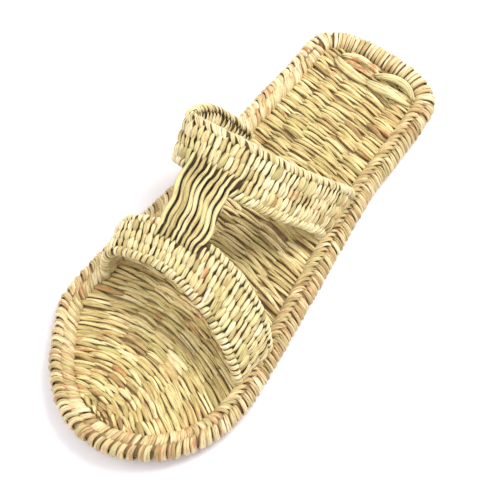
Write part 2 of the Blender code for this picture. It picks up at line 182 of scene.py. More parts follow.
# How leaves differ: in slant, thickness, place on their map and start of their waves
LEAF_SLANTS = (0.2, 1.6)
LEAF_SWELLS = (0.85, 1.12)
MAP_PLACES = (0, 400)
WAVE_STARTS = (0, 6.28)
# How paleness, greenness and streaks differ, from leaf to leaf and from cord to cord
LEAF_TONE = np.array((0.25, 0.17, 0.12))
CORD_TONE = (0.16, 0.20, 0.30)
# How a cord is made up: leaves, slant, flatness, width of a leaf, raggedness of its ends, looseness
BED_STYLE = (1, 0.0, 0.92, 0.93, 0.12, 0.10)
BED_PAIR_STYLE = (2, 1.0, 0.80, 1.05, 0.20, 0.12)
SOLE_STYLE = (2, 0.5, 0.55, 1.10, 0.16, 0.10)
WRAP_STYLE = (2, 1.2, 0.75, 1.14, 0.09, 0.11)
BINDING_STYLE = (2, 0.3, 0.72, 1.08, 0.02, 0.08)
STRAP_STYLE = (1, 0.0, 0.85, 0.98, 0.06, 0.10)
LINING_STYLE = (1, 0.0, 0.72, 1.05, 0.05, 0.05)
EDGE_STYLE = (2, 0.8, 0.72, 1.12, 0.06, 0.10)
BAR_STYLE = (1, 0.0, 0.80, 1.0, 0.02, 0.06)
PLAIT_STYLE = (3, 1.1, 0.80, 1.10, 0.06, 0.08)


def smooth_table(rows, key, column):
    """Read a column of a table at key, on a curve that never overshoots its rows."""
    keys = [row[0] for row in rows]
    values = [column(row) for row in rows]
    key = min(max(key, keys[0]), keys[-1])
    at = min(sum(start <= key for start in keys), len(keys) - 1) - 1
    steps = [(values[i + 1] - values[i]) / (keys[i + 1] - keys[i]) for i in range(len(keys) - 1)]
    inner = [2 * a * b / (a + b) if a * b > 0 else 0.0 for a, b in zip(steps, steps[1:])]
    slopes = [steps[0], *inner, steps[-1]]
    span = keys[at + 1] - keys[at]
    t = (key - keys[at]) / span
    start = (2 * t**3 - 3 * t**2 + 1) * values[at] + (t**3 - 2 * t**2 + t) * span * slopes[at]
    end = (3 * t**2 - 2 * t**3) * values[at + 1] + (t**3 - t**2) * span * slopes[at + 1]
    return start + end


def end_rounding(along):
    """Share of the half width left at a distance along the sole, less than one at its round ends."""
    if along < HEEL_ROUNDING:
        reach, power = (HEEL_ROUNDING - along) / HEEL_ROUNDING, HEEL_SQUARENESS
    elif along > LENGTH - TOE_ROUNDING:
        reach, power = (along - LENGTH + TOE_ROUNDING) / TOE_ROUNDING, TOE_SQUARENESS
    else:
        return 1.0
    return max(0.0, 1.0 - min(1.0, reach) ** power) ** (1.0 / power)


def side_reach(along, side):
    """Distance from the centre line to the sole's edge, side +1 inner and -1 outer."""
    column = 2 if side > 0 else 3
    half = smooth_table(SIDES, along / LENGTH, lambda row: row[1] * row[column])
    return half * end_rounding(along)


def floor_lift(along):
    """Height of the underside over the floor."""
    return smooth_table(LIFT, along / LENGTH, lambda row: row[1] * ARCH_LIFT + row[2] * TOE_SPRING)


LIFT_ALONG = np.linspace(0.0, LENGTH, LIFT_POINTS)
LIFT_HEIGHT = np.array([floor_lift(along) for along in LIFT_ALONG])


def lift_at(along):
    """Height of the underside over the floor, for many places at once."""
    return np.interp(along, LIFT_ALONG, LIFT_HEIGHT)


def reach_along(points):
    """Distance along a polyline to each of its points."""
    steps = np.linalg.norm(np.diff(points, axis=0), axis=1)
    return np.concatenate([[0.0], np.cumsum(steps)])


def read_at(line, reach, places):
    """Points at places along a polyline, whose own points lie at the distances in reach."""
    return np.stack([np.interp(places, reach, column) for column in line.T], axis=-1)


def resample(points, count):
    """Points evenly spaced along a polyline."""
    reach = reach_along(points)
    return read_at(points, reach, np.linspace(0.0, reach[-1], count))


def sole_outline():
    """Closed outline in (across, along): from the heel up the inner side and back down the outer."""
    turns = np.linspace(0.0, math.pi, OUTLINE_POINTS)
    alongs = LENGTH * (1 - np.cos(turns)) / 2
    inner = [(side_reach(a, 1), a) for a in alongs]
    outer = [(-side_reach(a, -1), a) for a in alongs[::-1]]
    return resample(np.array(inner + outer[1:]), OUTLINE_POINTS + 1)[:-1]


def inset(outline, distance):
    """Outline moved inwards by a distance."""
    ahead = np.roll(outline, -1, axis=0) - np.roll(outline, 1, axis=0)
    ahead /= np.linalg.norm(ahead, axis=1)[:, None]
    inwards = np.column_stack([-ahead[:, 1], ahead[:, 0]])
    return outline + inwards * distance


def stretch(outline, start, end, count):
    """Part of a closed outline, between two shares of the way round it."""
    size = len(outline)
    reach = np.linspace(start, end, count) * size
    low = np.floor(reach).astype(int)
    part = (reach - low)[:, None]
    points = outline[low % size] * (1 - part) + outline[(low + 1) % size] * part
    return resample(points, count)


def share_at(outline, along, side):
    """How far round the outline, as a share, its inner or outer side passes a distance along the sole."""
    size = len(outline)
    half = range(0, size // 2) if side > 0 else range(size // 2, size)
    best = min(half, key=lambda i: abs(outline[i][1] - along))
    return best / size


def curve_through(knots, steps):
    """Smooth curve through rows of numbers, with a fixed number of steps between rows."""
    ends = np.vstack([knots[:1], knots, knots[-1:]])
    curve = []
    for i in range(len(knots) - 1):
        p0, p1, p2, p3 = ends[i], ends[i + 1], ends[i + 2], ends[i + 3]
        for t in np.linspace(0.0, 1.0, steps, endpoint=False):
            bend = (2 * p0 - 5 * p1 + 4 * p2 - p3) * t**2 + (3 * p1 - p0 - 3 * p2 + p3) * t**3
            curve.append(0.5 * (2 * p1 + (p2 - p0) * t + bend))
    curve.append(knots[-1])
    return np.array(curve)


def unit(vectors):
    """Vectors of length one."""
    return vectors / np.maximum(np.linalg.norm(vectors, axis=-1, keepdims=True), 1e-9)


def square_to(path, normal):
    """Normals turned square to their paths, (paths, rings, 3), and the directions to the side."""
    ahead = unit(np.gradient(path, axis=1))
    normal = unit(normal - ahead * np.sum(ahead * normal, axis=-1, keepdims=True))
    return normal, np.cross(normal, ahead)


def tubes(path, aside, up, width, height, sides):
    """Rings of points of oval tubes along paths, from their half widths and half heights."""
    turn = (2 * math.pi * np.arange(sides) / sides)[:, None]
    out = np.cos(turn) * np.asarray(width)[..., None, None]
    rise = np.sin(turn) * np.asarray(height)[..., None, None]
    return path[..., None, :] + aside[..., None, :] * out + up[..., None, :] * rise


class Weave:
    """Leaves of straw gathered into one mesh of closed flat tubes.

    Each leaf carries a colour attribute: red is how pale it is, green how green, blue how streaked, and
    alpha falls to zero at its ends, where painted shade and browning darken it. Its UV map is in millimetres,
    along the leaf and round it.
    """

    def __init__(self, seed):
        self.random = np.random.default_rng(seed)
        self.points = []
        self.faces = []
        self.maps = []
        self.straw = []
        self.slots = []
        self.size = 0

    def rings(self, rings, tone, slot=0):
        """Closed tubes through rings of points, (tubes, rings, sides, 3), with a tone for each tube."""
        count, length, sides, _ = rings.shape
        start = np.arange(count)[:, None, None] * length * sides
        step = np.arange(length - 1)[None, :, None] * sides
        side = np.arange(sides)[None, None, :]
        near, far = start + step + side, start + step + (side + 1) % sides
        walls = np.stack([near, far, far + sides, near + sides], axis=-1).reshape(-1, 4)
        cap = np.array([(j, j + 1, sides - 2 - j, sides - 1 - j) for j in range(sides // 2 - 1)])
        first = (start + cap[None, :, ::-1]).reshape(-1, 4)
        last = (start + (length - 1) * sides + cap[None]).reshape(-1, 4)
        faces = np.concatenate([walls, first, last])
        middle = rings.mean(axis=2)
        steps = np.linalg.norm(np.diff(middle, axis=1), axis=-1)
        reach = np.concatenate([np.zeros((count, 1)), np.cumsum(steps, axis=1)], axis=1) * 1000
        # painted shade and browning: zero at each end of a leaf, one a little way in
        clear = np.clip(np.minimum(reach, reach[:, -1:] - reach) / END_SHADE, 0, 1)
        reach += self.random.uniform(*MAP_PLACES, (count, 1))
        girth = np.linalg.norm(rings[:, :, 0] - rings[:, :, sides // 2], axis=-1).max(axis=1) * 2000
        turn = np.arange(sides + 1)[None, :] / sides * girth[:, None]
        turn += self.random.uniform(*MAP_PLACES, (count, 1))
        low, high, left, right = reach[:, :-1], reach[:, 1:], turn[:, :-1], turn[:, 1:]
        along = np.stack([low, low, high, high], axis=-1)[:, :, None]
        across = np.stack([left, right, right, left], axis=-1)[:, None]
        wide = np.stack(np.broadcast_arrays(along, across), axis=-1)
        corner = np.stack([reach[:, 0], turn[:, 0]], axis=-1)
        ends = np.tile(np.repeat(corner, 4 * len(cap), axis=0), (2, 1))
        place = np.broadcast_to(clear[:, :, None, None], (count, length, sides, 1))
        tones = np.broadcast_to(np.asarray(tone)[:, None, None, :], (count, length, sides, 3))
        self.points.append(rings.reshape(-1, 3))
        self.faces.append(faces + self.size)
        self.maps.append(np.concatenate([wide.reshape(-1, 2), ends]))
        self.straw.append(np.concatenate([tones, place], axis=-1).reshape(-1, 4))
        self.slots.append(np.full(len(faces), slot))
        self.size += count * length * sides

    def cords(self, rows, style):
        """Cords of a few leaves side by side, laid aslant like a loose twist.

        A row is a cord: its path, its normals or one for all, its radii and its tone.
        """
        path, normal, radius, tone = (np.array(part) for part in zip(*rows))
        leaves, slant, flat, width, ragged, loose = style
        count, length = radius.shape
        normal, aside = square_to(path, normal)
        t = np.linspace(-0.5, 0.5, length)
        lay = slant * self.random.uniform(*LEAF_SLANTS, count)
        half = width / leaves
        taper = spindle(length, *LEAF_TAPER)
        each = np.arange(count)[:, None]
        for leaf in range(leaves):
            place = (2 * leaf + 1) / leaves - 1 + self.random.normal(0, loose, (count, 1))
            side = np.clip(place + lay[:, None] * t, -1, 1)
            rise = 0.5 - LEAF_DROP * side**2 + self.random.normal(0, loose, (count, 1))
            offset = aside * (side * (1 - half * LEAF_LAP))[..., None] + normal * (flat * rise)[..., None]
            centre = path + offset * radius[..., None]
            wave = np.sin(2 * math.pi * t + self.random.uniform(*WAVE_STARTS, (count, 1)))
            outwards = unit(aside * (side * LEAF_FAN + LEAF_TILT * loose * wave)[..., None] + normal)
            cut = self.random.uniform(0, ragged, (2, count, 1))
            reach = (cut[0] + (t + 0.5) * (1 - cut[0] - cut[1])) * (length - 1)
            low = np.minimum(reach.astype(int), length - 2)
            part = (reach - low)[..., None]
            centre = centre[each, low] * (1 - part) + centre[each, low + 1] * part
            swell = self.random.uniform(*LEAF_SWELLS, (count, 1)) * taper * radius[each, low]
            shade = np.clip(tone + self.random.normal(0, LEAF_TONE, (count, 3)), 0, 1)
            up, out = square_to(centre, outwards[each, low])
            self.rings(tubes(centre, out, up, half * swell, flat * LEAF_DEPTH * swell, LEAF_SIDES), shade)

    def tone(self, pale, green, streak):
        """A random tone near the one asked for: how pale, how green and how streaked."""
        middles = zip((pale, green, streak), CORD_TONE)
        return np.clip([self.random.normal(middle, spread) for middle, spread in middles], 0, 1)

    def build(self, name, materials, shift):
        """One object from all that was gathered."""

        def fill(holder, key, values, kind=np.float32):
            holder.foreach_set(key, np.asarray(values, dtype=kind).ravel())

        points, faces = np.concatenate(self.points) - shift, np.concatenate(self.faces)
        mesh = bpy.data.meshes.new(name)
        mesh.vertices.add(len(points))
        fill(mesh.vertices, "co", points)
        mesh.loops.add(faces.size)
        fill(mesh.loops, "vertex_index", faces, np.int32)
        mesh.polygons.add(len(faces))
        fill(mesh.polygons, "loop_start", np.arange(0, faces.size, 4), np.int32)
        fill(mesh.polygons, "material_index", np.concatenate(self.slots), np.int32)
        fill(mesh.polygons, "use_smooth", np.ones(len(faces)), bool)
        fill(mesh.uv_layers.new(name="leaf").data, "uv", np.concatenate(self.maps))
        straw = mesh.color_attributes.new("straw", "FLOAT_COLOR", "POINT")
        fill(straw.data, "color", np.concatenate(self.straw))
        mesh.update(calc_edges=True)
        mesh.validate()
        for material in materials:
            mesh.materials.append(material)
        piece = bpy.data.objects.new(name, mesh)
        bpy.context.collection.objects.link(piece)
        return piece


def spindle(rings, tip, power):
    """Profile of a leaf or cord along itself: one in the middle and narrow at both ends."""
    t = np.linspace(0, 1, rings)
    return tip + (1 - tip) * np.sin(math.pi * t) ** power


# Footbed: columns of floats over hidden warps
FLOAT_PITCH = 0.0023
SOLE_PITCH = 0.0036
FLOAT_REACH = 0.33
TOE_FLOAT_REACH = 0.46
FLOAT_RINGS = 12
SINGLE_SHARE = 0.75
FLOAT_SWAY = 0.0004
FLOAT_TAPER = (0.22, 0.7)
FLOAT_RADIUS = 0.60
WIDEST_FLOAT = 0.33
# How floats differ: in reach, place, lean, sway, height, thickness and start
FLOAT_JITTER = (0.08, 0.0003, 0.0008, 0.0003, 0.00025, 0.12, 0.08)
SHORTEST_ROW = 0.006
ROW_REACH = 0.06
ROW_POINTS = 241
SOLE_RINGS = 7
SOLE_RISE = 0.45
BED_RISE = 0.0019
BED_SINK = 0.0010
BED_CORE_DEPTH = 0.0018
BED_OVERLAP = 0.001
BED_CORE_ROWS = 120
# Paleness, greenness and streaks of the floats above and below, and how they differ
BED_TONE = (0.55, 0.13, 0.14)
SOLE_TONE = (0.40, 0.2, 0.15)
BED_TONE_SPREAD = (0.20, 0.15, 0.25)
BROWN_DARKENS = 0.6
BED_MIDDLE = 0.004
BOW_FROM = 0.120
BOW_SPAN = 0.130
BOW_START = 0.9
BOW_END = 19.0
BOW_GROWTH = 1.5
OUTER_BOW = 0.62
# Columns between the rims, as shares of the row, and how far a float leans to the toe at its outer end
HEEL_COLUMNS = (
    # outer border, inner border, lean
    (-0.02, 0.195, 0.0010),
    (0.195, 0.420, 0.0036),
    (0.420, 0.640, -0.0004),
    (0.640, 0.830, 0.0014),
    (0.830, 1.02, 0.0014),
)
TOE_COLUMNS = (
    (-0.02, 0.14, 0.0008),
    (0.14, 0.29, 0.0022),
    (0.29, 0.43, 0.0024),
    (0.43, 0.57, 0.0008),
    (0.57, 0.71, 0.0016),
    (0.71, 0.86, 0.0022),
    (0.86, 1.02, 0.0022),
)
TOE_COLUMNS_FROM = 0.160
# Patches of greener and browner straw: middle along and across, reach along and across, how much more.
# Browner straw is darker too, and where the amount is negative the straw is paler: that patch, between the
# straps, is painted light against their shadow.
GREEN_PATCHES = (
    ((0.185, 0.000), (0.025, 0.030), 0.16),
    ((0.070, 0.030), (0.030, 0.016), 0.18),
    ((0.045, 0.000), (0.020, 0.020), 0.10),
)
BROWN_PATCHES_AND_PAINTED_LIGHT = (
    ((0.225, 0.035), (0.030, 0.016), 0.30),
    ((0.040, -0.022), (0.030, 0.014), 0.24),
    ((0.245, 0.000), (0.012, 0.030), 0.20),
    # painted light: the footbed between the straps made paler against their shadow
    ((0.148, -0.012), (0.024, 0.030), -0.34),
)


def row_bow(along, across):
    """How far a row that curves round the toe has come forward, across the sole."""
    part = np.clip((along - BOW_FROM) / BOW_SPAN, 0, 1)
    bow = BOW_START + (BOW_END - BOW_START) * part**BOW_GROWTH
    return bow * np.where(across < BED_MIDDLE, OUTER_BOW, 1.0) * (across - BED_MIDDLE) ** 2


def row_ends(edge, along):
    """Outer and inner end of a curved row, where it meets the edge of the footbed."""
    half = len(edge) // 2
    inner, outer = edge[:half], edge[half:][::-1]
    ends = []
    for side, line in ((-1, outer), (1, inner)):
        across = BED_MIDDLE + side * np.linspace(0, ROW_REACH, ROW_POINTS)
        forward = along + row_bow(along, across)
        order = np.argsort(line[:, 1])
        limit = np.interp(forward, line[order, 1], line[order, 0], left=0.0, right=0.0)
        inside = side * (limit - across) > 0
        last = len(across) - 1 if inside.all() else max(int(np.argmin(inside)) - 1, 0)
        ends.append(across[last])
    return ends


def bed_marks(edge, pitch):
    """Columns and the places of their floats along the sole."""
    first, last = edge[:, 1].min(), edge[:, 1].max()
    parts = ((HEEL_COLUMNS, first, TOE_COLUMNS_FROM), (TOE_COLUMNS, TOE_COLUMNS_FROM, last))
    for columns, low, high in parts:
        for index, column in enumerate(columns):
            begin = low + pitch * (0.5 + 0.5 * (index % 2))
            for mark in np.arange(begin, high - pitch * 0.4, pitch):
                outer, inner = row_ends(edge, mark)
                if inner - outer > SHORTEST_ROW:
                    yield column, mark, outer, inner


def bed_floats(weave, edge, height, up, rings, pitch, styles, size, tone):
    """Floats of one face of the footbed. up is +1 on top and -1 underneath."""
    floats = []
    t = np.linspace(0, 1, rings)
    slim = spindle(rings, *FLOAT_TAPER)
    for (start, end, lean), mark, outer, inner in bed_marks(edge, pitch):
        width = (end - start) * (inner - outer)
        jitter = weave.random.normal(0, 1, 7) * FLOAT_JITTER
        reach = (TOE_FLOAT_REACH if mark > TOE_COLUMNS_FROM else FLOAT_REACH) + jitter[0]
        share = start + (end - start) * (jitter[6] - reach + (1 + 2 * reach) * t)
        across = outer + (inner - outer) * share
        forward = mark + jitter[1] + (jitter[2] - lean) * (t - 0.5)
        forward = forward + (FLOAT_SWAY + jitter[3]) * np.sin(2 * math.pi * t)
        forward = forward + row_bow(mark, across)
        arch = -BED_SINK + (BED_RISE + jitter[4]) * size * np.sin(math.pi * t) ** 0.7
        path = np.column_stack([across, forward, height + lift_at(forward) + up * arch])
        radii = slim * min(pitch * FLOAT_RADIUS * (1 + jitter[5]), width * WIDEST_FLOAT)
        floats.append((path, [(0, 0, up)], radii, tone(mark, across.mean())))
    order = weave.random.permutation(len(floats))
    cut = int(len(floats) * SINGLE_SHARE)
    for chosen, style in zip((order[:cut], order[cut:]), styles):
        weave.cords([floats[i] for i in chosen], style)


def bed_core(weave, edge):
    """Slab under the floats, in slices from heel to toe, its dark colour painted shade in the gaps between
    them.
    """
    half = len(edge) // 2
    inner, outer = (resample(side, BED_CORE_ROWS) for side in (edge[:half], edge[half:][::-1]))
    rings = []
    for (xi, yi), (xo, yo) in zip(inner, outer):
        low_i, low_o = lift_at(yi) + BED_CORE_DEPTH, lift_at(yo) + BED_CORE_DEPTH
        thick = FOOTBED_THICKNESS - 2 * BED_CORE_DEPTH
        rings.append([(xo, yo, low_o), (xi, yi, low_i), (xi, yi, low_i + thick), (xo, yo, low_o + thick)])
    weave.rings(np.array(rings)[None, 1:-1], CORE_TONE, 1)


def near(place, middle, spread):
    """One at the middle of a patch, falling to zero round it."""
    gaps = [(at - centre) / reach for at, centre, reach in zip(place, middle, spread)]
    return math.exp(-(gaps[0] ** 2 + gaps[1] ** 2))


def bed_tone(weave, pale, green, streak):
    """Tone of a footbed float: greener and browner in patches, and paler between the straps as painted light.
    """

    def tone(*place):
        leafy, brown_and_light = green, streak
        for middle, spread, more in GREEN_PATCHES:
            leafy += more * near(place, middle, spread)
        for middle, spread, more in BROWN_PATCHES_AND_PAINTED_LIGHT:
            brown_and_light += more * near(place, middle, spread)
        middles = (pale - BROWN_DARKENS * (brown_and_light - streak), leafy, brown_and_light)
        return [weave.random.normal(middle, spread) for middle, spread in zip(middles, BED_TONE_SPREAD)]

    return tone


def make_footbed(outline, materials, shift):
    """Woven footbed with floats above and below its core."""
    weave = Weave(FOOTBED_SEED)
    edge = inset(outline, FRAME_WIDTH - BED_OVERLAP)
    bed_core(weave, inset(outline, FRAME_WIDTH - CORE_INSET))
    top = FOOTBED_THICKNESS - BED_CORE_DEPTH
    above, below = bed_tone(weave, *BED_TONE), bed_tone(weave, *SOLE_TONE)
    styles, low_styles = (BED_STYLE, BED_PAIR_STYLE), (SOLE_STYLE, SOLE_STYLE)
    bed_floats(weave, edge, top, 1, FLOAT_RINGS, FLOAT_PITCH, styles, 1.0, above)
    bed_floats(weave, edge, BED_CORE_DEPTH, -1, SOLE_RINGS, SOLE_PITCH, low_styles, SOLE_RISE, below)
    return weave.build("footbed_weave", materials, shift)


# Frame: wraps in two parts that meet over the rope, from one angle to another, 0 outwards and 90 degrees up
WRAP_PITCH = 0.0030
TOE_WRAP_PITCH = 0.0034
WRAP_LEAN = 0.0112
TOE_WRAP_LEAN = 0.0062
LEAN_FADE = 0.018
LEAN_BEND = 1.5
LEAN_MIDDLE = 0.35
KNUCKLE_SHIFT = 0.0011
# Behind the toe on the outer side the wraps arch over the rope, their inner ends toward the toe
OUTER_ARCH = 0.0044
OUTER_ARCH_WALL = 0.40
OUTER_ARCH_ROUNDING = 1.6
OUTER_ARCH_FROM = 0.55
OUTER_ARCH_FADE = 0.09
CREASE_ANGLE = math.radians(94)
CREASE_DEPTH = 0.0014
CREASE_SPREAD = math.radians(22)
ARCHED_CREASE = 0.2
BINDING_CREASE = 0.25
BINDING_LEAN = 0.0006
OUTER_WRAP = (math.radians(-165), math.radians(116), 15)
INNER_WRAP = (math.radians(66), math.radians(215), 10)
FULL_WRAP = (math.radians(-150), math.radians(205), 20)
CORE_INSET = 0.0021
ROPE_CORE_RINGS = 160
ROPE_CORE_SIDES = 12
BINDING_PITCH = 0.0024
# Radius of a wrap as a share of the pitch, and how much less it is at the rope's outer end
WRAP_RADIUS = 0.68
WRAP_RADIUS_FALL = 0.08
BINDING_RADIUS = 0.62
# How far a wrap stays inside the rope's skin, as a share of its radius, and how deep its ends dive
WRAP_SKIN = 0.70
WRAP_DIVE = 0.0012
WRAP_TAPER = (0.45, 0.5)
WRAP_SWAY = 0.00035
# How wraps differ: in turn round the rope, place, thickness and start of their sway
WRAP_JITTER = (0.07, 0.00035, 0.08, 0.4)
# How far the wider pitch round the toe reaches, and how far the toe's looks do
TOE_PITCH_REACH = (1.4, 0.20)
TOE_LOOKS_REACH = (1.3, 0.11)
# Paleness, greenness and streaks of the rope's wraps: at its start, more by its end, more round the toe
WRAP_TONES = ((0.70, -0.28, -0.08), (0.08, 0.26, 0.0), (0.14, 0.0, 0.08))
BINDING_TONE = (0.66, 0.16, 0.14)


def frame_wraps(weave, path, marks, column, looks, style):
    """One column of cords wound round a rope that lies along a flat path.

    looks gives, at a share of the rope, the depth of the crease and a wrap's slant, arch, radius and tone.
    """
    start, end, rings = column
    reach = reach_along(path)
    ahead = unit(np.gradient(path, axis=0))
    t = np.linspace(0, 1, rings)
    wraps = []
    for mark in marks:
        jitter = weave.random.normal(0, 1, 4) * WRAP_JITTER
        angle = start + (end - start) * t + jitter[0]
        outwards = np.cos(angle)
        sway = WRAP_SWAY * np.sin(2 * math.pi * t + jitter[3])
        fade = min(1, min(mark, reach[-1] - mark) / LEAN_FADE)
        bend = ((1 - outwards) / 2) ** LEAN_BEND - LEAN_MIDDLE
        drape = np.abs(outwards) ** OUTER_ARCH_ROUNDING * np.where(outwards < 0, 1, OUTER_ARCH_WALL)
        crease, slant, arch, radius, tone = looks(mark / reach[-1])
        at = mark + (slant * bend - arch * drape) * fade + jitter[1] + sway
        at = np.clip(at, 0, reach[-1])
        centre = read_at(path, reach, at)
        along = read_at(ahead, reach, at)
        aside = unit(np.column_stack([along[:, 1], -along[:, 0]]))
        full = radius * (1 + jitter[2])
        hollow = np.exp(-(((angle - CREASE_ANGLE) / CREASE_SPREAD) ** 2))
        dive = WRAP_DIVE * (1 - np.sin(math.pi * t) ** 0.4)
        skin = full * WRAP_SKIN + CREASE_DEPTH * crease * hollow + dive
        out = (FRAME_WIDTH / 2 - skin) * outwards
        up = (FRAME_THICKNESS / 2 - skin) * np.sin(angle)
        flat = centre + aside * out[:, None]
        middle = lift_at(centre[:, 1]) + GAP + FRAME_THICKNESS / 2
        normal = np.column_stack([aside * outwards[:, None], np.sin(angle)])
        turned = np.column_stack([flat, middle + up])
        wraps.append((turned, normal, full * spindle(rings, *WRAP_TAPER), tone))
    weave.cords(wraps, style)


def frame_core(weave, path):
    """Rope that the wraps are wound on, painted dark as shade in the gaps between them."""
    path = resample(path, ROPE_CORE_RINGS)
    ahead = unit(np.gradient(path, axis=0))
    aside = np.column_stack([ahead[:, 1], -ahead[:, 0], np.zeros(len(path))])
    middle = np.column_stack([path, lift_at(path[:, 1]) + GAP + FRAME_THICKNESS / 2])
    width, height = FRAME_WIDTH / 2 - CORE_INSET, FRAME_THICKNESS / 2 - CORE_INSET
    rings = tubes(middle, aside, np.array((0, 0, 1)), width, height, ROPE_CORE_SIDES)
    weave.rings(rings[None, :, ::-1], CORE_TONE, 1)


def toeward(share, top, fade):
    """One round the toe and zero away from it, at a share of the rope."""
    return np.clip(top - abs(share - 0.5) / fade, 0, 1)


def arched(share):
    """One where the wraps arch over the rope and zero where they slant."""
    return np.clip((share - OUTER_ARCH_FROM) / OUTER_ARCH_FADE, 0, 1)


def wrap_marks(length, side_pitch, toe_pitch):
    """Places of wraps along the rope, further apart round the toe."""
    marks, at = [], side_pitch / 4
    while at < length:
        marks.append(at)
        at += side_pitch + (toe_pitch - side_pitch) * toeward(at / length, *TOE_PITCH_REACH)
    return np.array(marks)


def start_rope(outline, seed, start, end, pitches):
    """Weave with the core of the rope between two shares of the outline, its path and the wraps' places."""
    weave = Weave(seed)
    path = stretch(inset(outline, FRAME_WIDTH / 2), start, end, PATH_POINTS)
    frame_core(weave, path)
    length = reach_along(path)[-1]
    return weave, path, length, wrap_marks(length, *pitches)


def make_edge_rope(outline, corners, materials, shift):
    """Rope round the toe and both sides: two columns of cords with a crease between them."""
    weave, path, length, marks = start_rope(outline, ROPE_SEED, *corners, (WRAP_PITCH, TOE_WRAP_PITCH))
    between = marks + KNUCKLE_SHIFT * (1 - arched(marks / length))

    def looks(share):
        toe, over = toeward(share, *TOE_LOOKS_REACH), arched(share)
        slant = WRAP_LEAN + (TOE_WRAP_LEAN - WRAP_LEAN) * toe
        pitch = WRAP_PITCH + (TOE_WRAP_PITCH - WRAP_PITCH) * toe
        radius = (WRAP_RADIUS - WRAP_RADIUS_FALL * share) * pitch
        tone = weave.tone(*(first + along * share + more * toe for first, along, more in WRAP_TONES))
        return 1 - (1 - ARCHED_CREASE) * over, slant * (1 - over), OUTER_ARCH * over, radius, tone

    frame_wraps(weave, path, marks, OUTER_WRAP, looks, WRAP_STYLE)
    frame_wraps(weave, path, between, INNER_WRAP, looks, WRAP_STYLE)
    return weave.build("edge_rope_wraps", materials, shift)


def make_heel_binding(outline, corners, materials, shift):
    """Close wraps across the heel."""
    ends = corners[1] - 1, corners[0]
    weave, path, _, marks = start_rope(outline, BINDING_SEED, *ends, (BINDING_PITCH, BINDING_PITCH))

    def looks(share):
        radius = BINDING_RADIUS * BINDING_PITCH
        return BINDING_CREASE, BINDING_LEAN, 0.0, radius, weave.tone(*BINDING_TONE)

    frame_wraps(weave, path, marks, FULL_WRAP, looks, BINDING_STYLE)
    return weave.build("heel_binding_wraps", materials, shift)


# Fat cords of the heel plait: a lens on the inner side, a lens on the outer side and the gaps' lining
PLAIT_CORDS = (
    # start across, start along, belly across, belly along, end across, end along, width, lift, green, streak
    (0.0200, 0.0178, 0.0085, 0.0152, -0.0045, 0.0176, 0.0048, 0.0022, 0.15, 0.70),
    (0.0185, 0.0205, 0.0090, 0.0196, -0.0030, 0.0206, 0.0036, 0.0010, 0.10, 1.00),
    (0.0215, 0.0192, 0.0105, 0.0252, -0.0035, 0.0256, 0.0058, 0.0024, 0.35, 0.00),
    (0.0000, 0.0192, -0.0150, 0.0158, -0.0262, 0.0212, 0.0062, 0.0028, 0.35, 0.00),
    (0.0015, 0.0232, -0.0125, 0.0254, -0.0272, 0.0244, 0.0058, 0.0026, 0.30, 0.00),
    (-0.0050, 0.0212, -0.0150, 0.0208, -0.0240, 0.0224, 0.0034, 0.0006, 0.25, 0.10),
)
PLAIT_RINGS = 22
PLAIT_SINK = 0.0008
PLAIT_RADIUS = 0.52
PLAIT_PALENESS = (0.5, 0.7)
PLAIT_TAPER = (0.35, 0.7)


def make_heel_plait(materials, shift):
    """Fat plaited cords on the footbed inside the heel binding."""
    weave = Weave(PLAIT_SEED)
    t = np.linspace(0, 1, PLAIT_RINGS)
    cords = []
    for x0, y0, x1, y1, x2, y2, width, lift, green, streak in PLAIT_CORDS:
        start, belly, end = np.array((x0, y0)), np.array((x1, y1)), np.array((x2, y2))
        bend = 2 * belly - (start + end) / 2
        part = t[:, None]
        flat = (1 - part) ** 2 * start + 2 * part * (1 - part) * bend + part**2 * end
        rise = -PLAIT_SINK + lift * np.sin(math.pi * t) ** 0.6
        path = np.column_stack([flat, FOOTBED_THICKNESS + rise])
        radii = width * PLAIT_RADIUS * spindle(PLAIT_RINGS, *PLAIT_TAPER)
        tone = (weave.random.uniform(*PLAIT_PALENESS), green, streak)
        cords.append((path, [(0, 0, 1)], radii, tone))
    weave.cords(cords, PLAIT_STYLE)
    return weave.build("heel_plait_leaves", materials, shift)


class Strap:
    """Surface of a strap, read at a place along it in metres and a share of the way from back to front."""

    def __init__(self, table, at, width, height):
        knots = []
        for row in table:
            knot = []
            for across, forward, up in (row[:3], row[3:]):
                along = at + forward * width
                reach = side_reach(at, 1 if across > 0 else -1)
                base = FOOTBED_THICKNESS + GAP + floor_lift(along)
                knot += [across * reach, along, base + up * height]
            knots.append(knot)
        curve = curve_through(np.array(knots), STEPS_BETWEEN_ROWS)
        self.back = curve[:, :3]
        self.front = curve[:, 3:]
        middle = (self.back + self.front) / 2
        self.reach = reach_along(middle)
        self.length = self.reach[-1]
        self.turns = int(round(self.length / STRAP_PITCH))
        self.pitch = self.length / self.turns
        self.outwards = unit(np.cross(unit(np.gradient(middle, axis=0)), self.front - self.back))

    def at(self, line, place):
        """A line of the strap read at many places along it."""
        return read_at(line, self.reach, place)

    def point(self, place, share, height):
        """Point over the middle of the wall, and the outward direction there."""
        back, front = self.at(self.back, place), self.at(self.front, place)
        normal = unit(self.at(self.outwards, place))
        flat = back + (front - back) * share[..., None]
        return flat + normal * height[..., None], normal

    def edge(self, place, front):
        """Point on the back or front edge, and the directions inwards from it and out of the strap."""
        back, near = self.at(self.back, place), self.at(self.front, place)
        inwards = unit(near - back) * (-1 if front else 1)
        return near if front else back, inwards, unit(self.at(self.outwards, place))


# Straps: three columns of floats between rolled edges
STRAP_PITCH = 0.0027
STRAP_BORDERS = (0.17, 0.39, 0.61, 0.83)
STRAP_REACH = 0.42
STRAP_RINGS = 13
LINING_RINGS = 7
STRAP_CORE = 0.0010
STRAP_CROWN = 0.0018
STRAP_SINK = 0.0003
STRAP_LEAN = 0.0005
STRAP_SWAY = 0.0004
STRAP_RADIUS = 0.54
STRAP_TAPER = (0.14, 0.85)
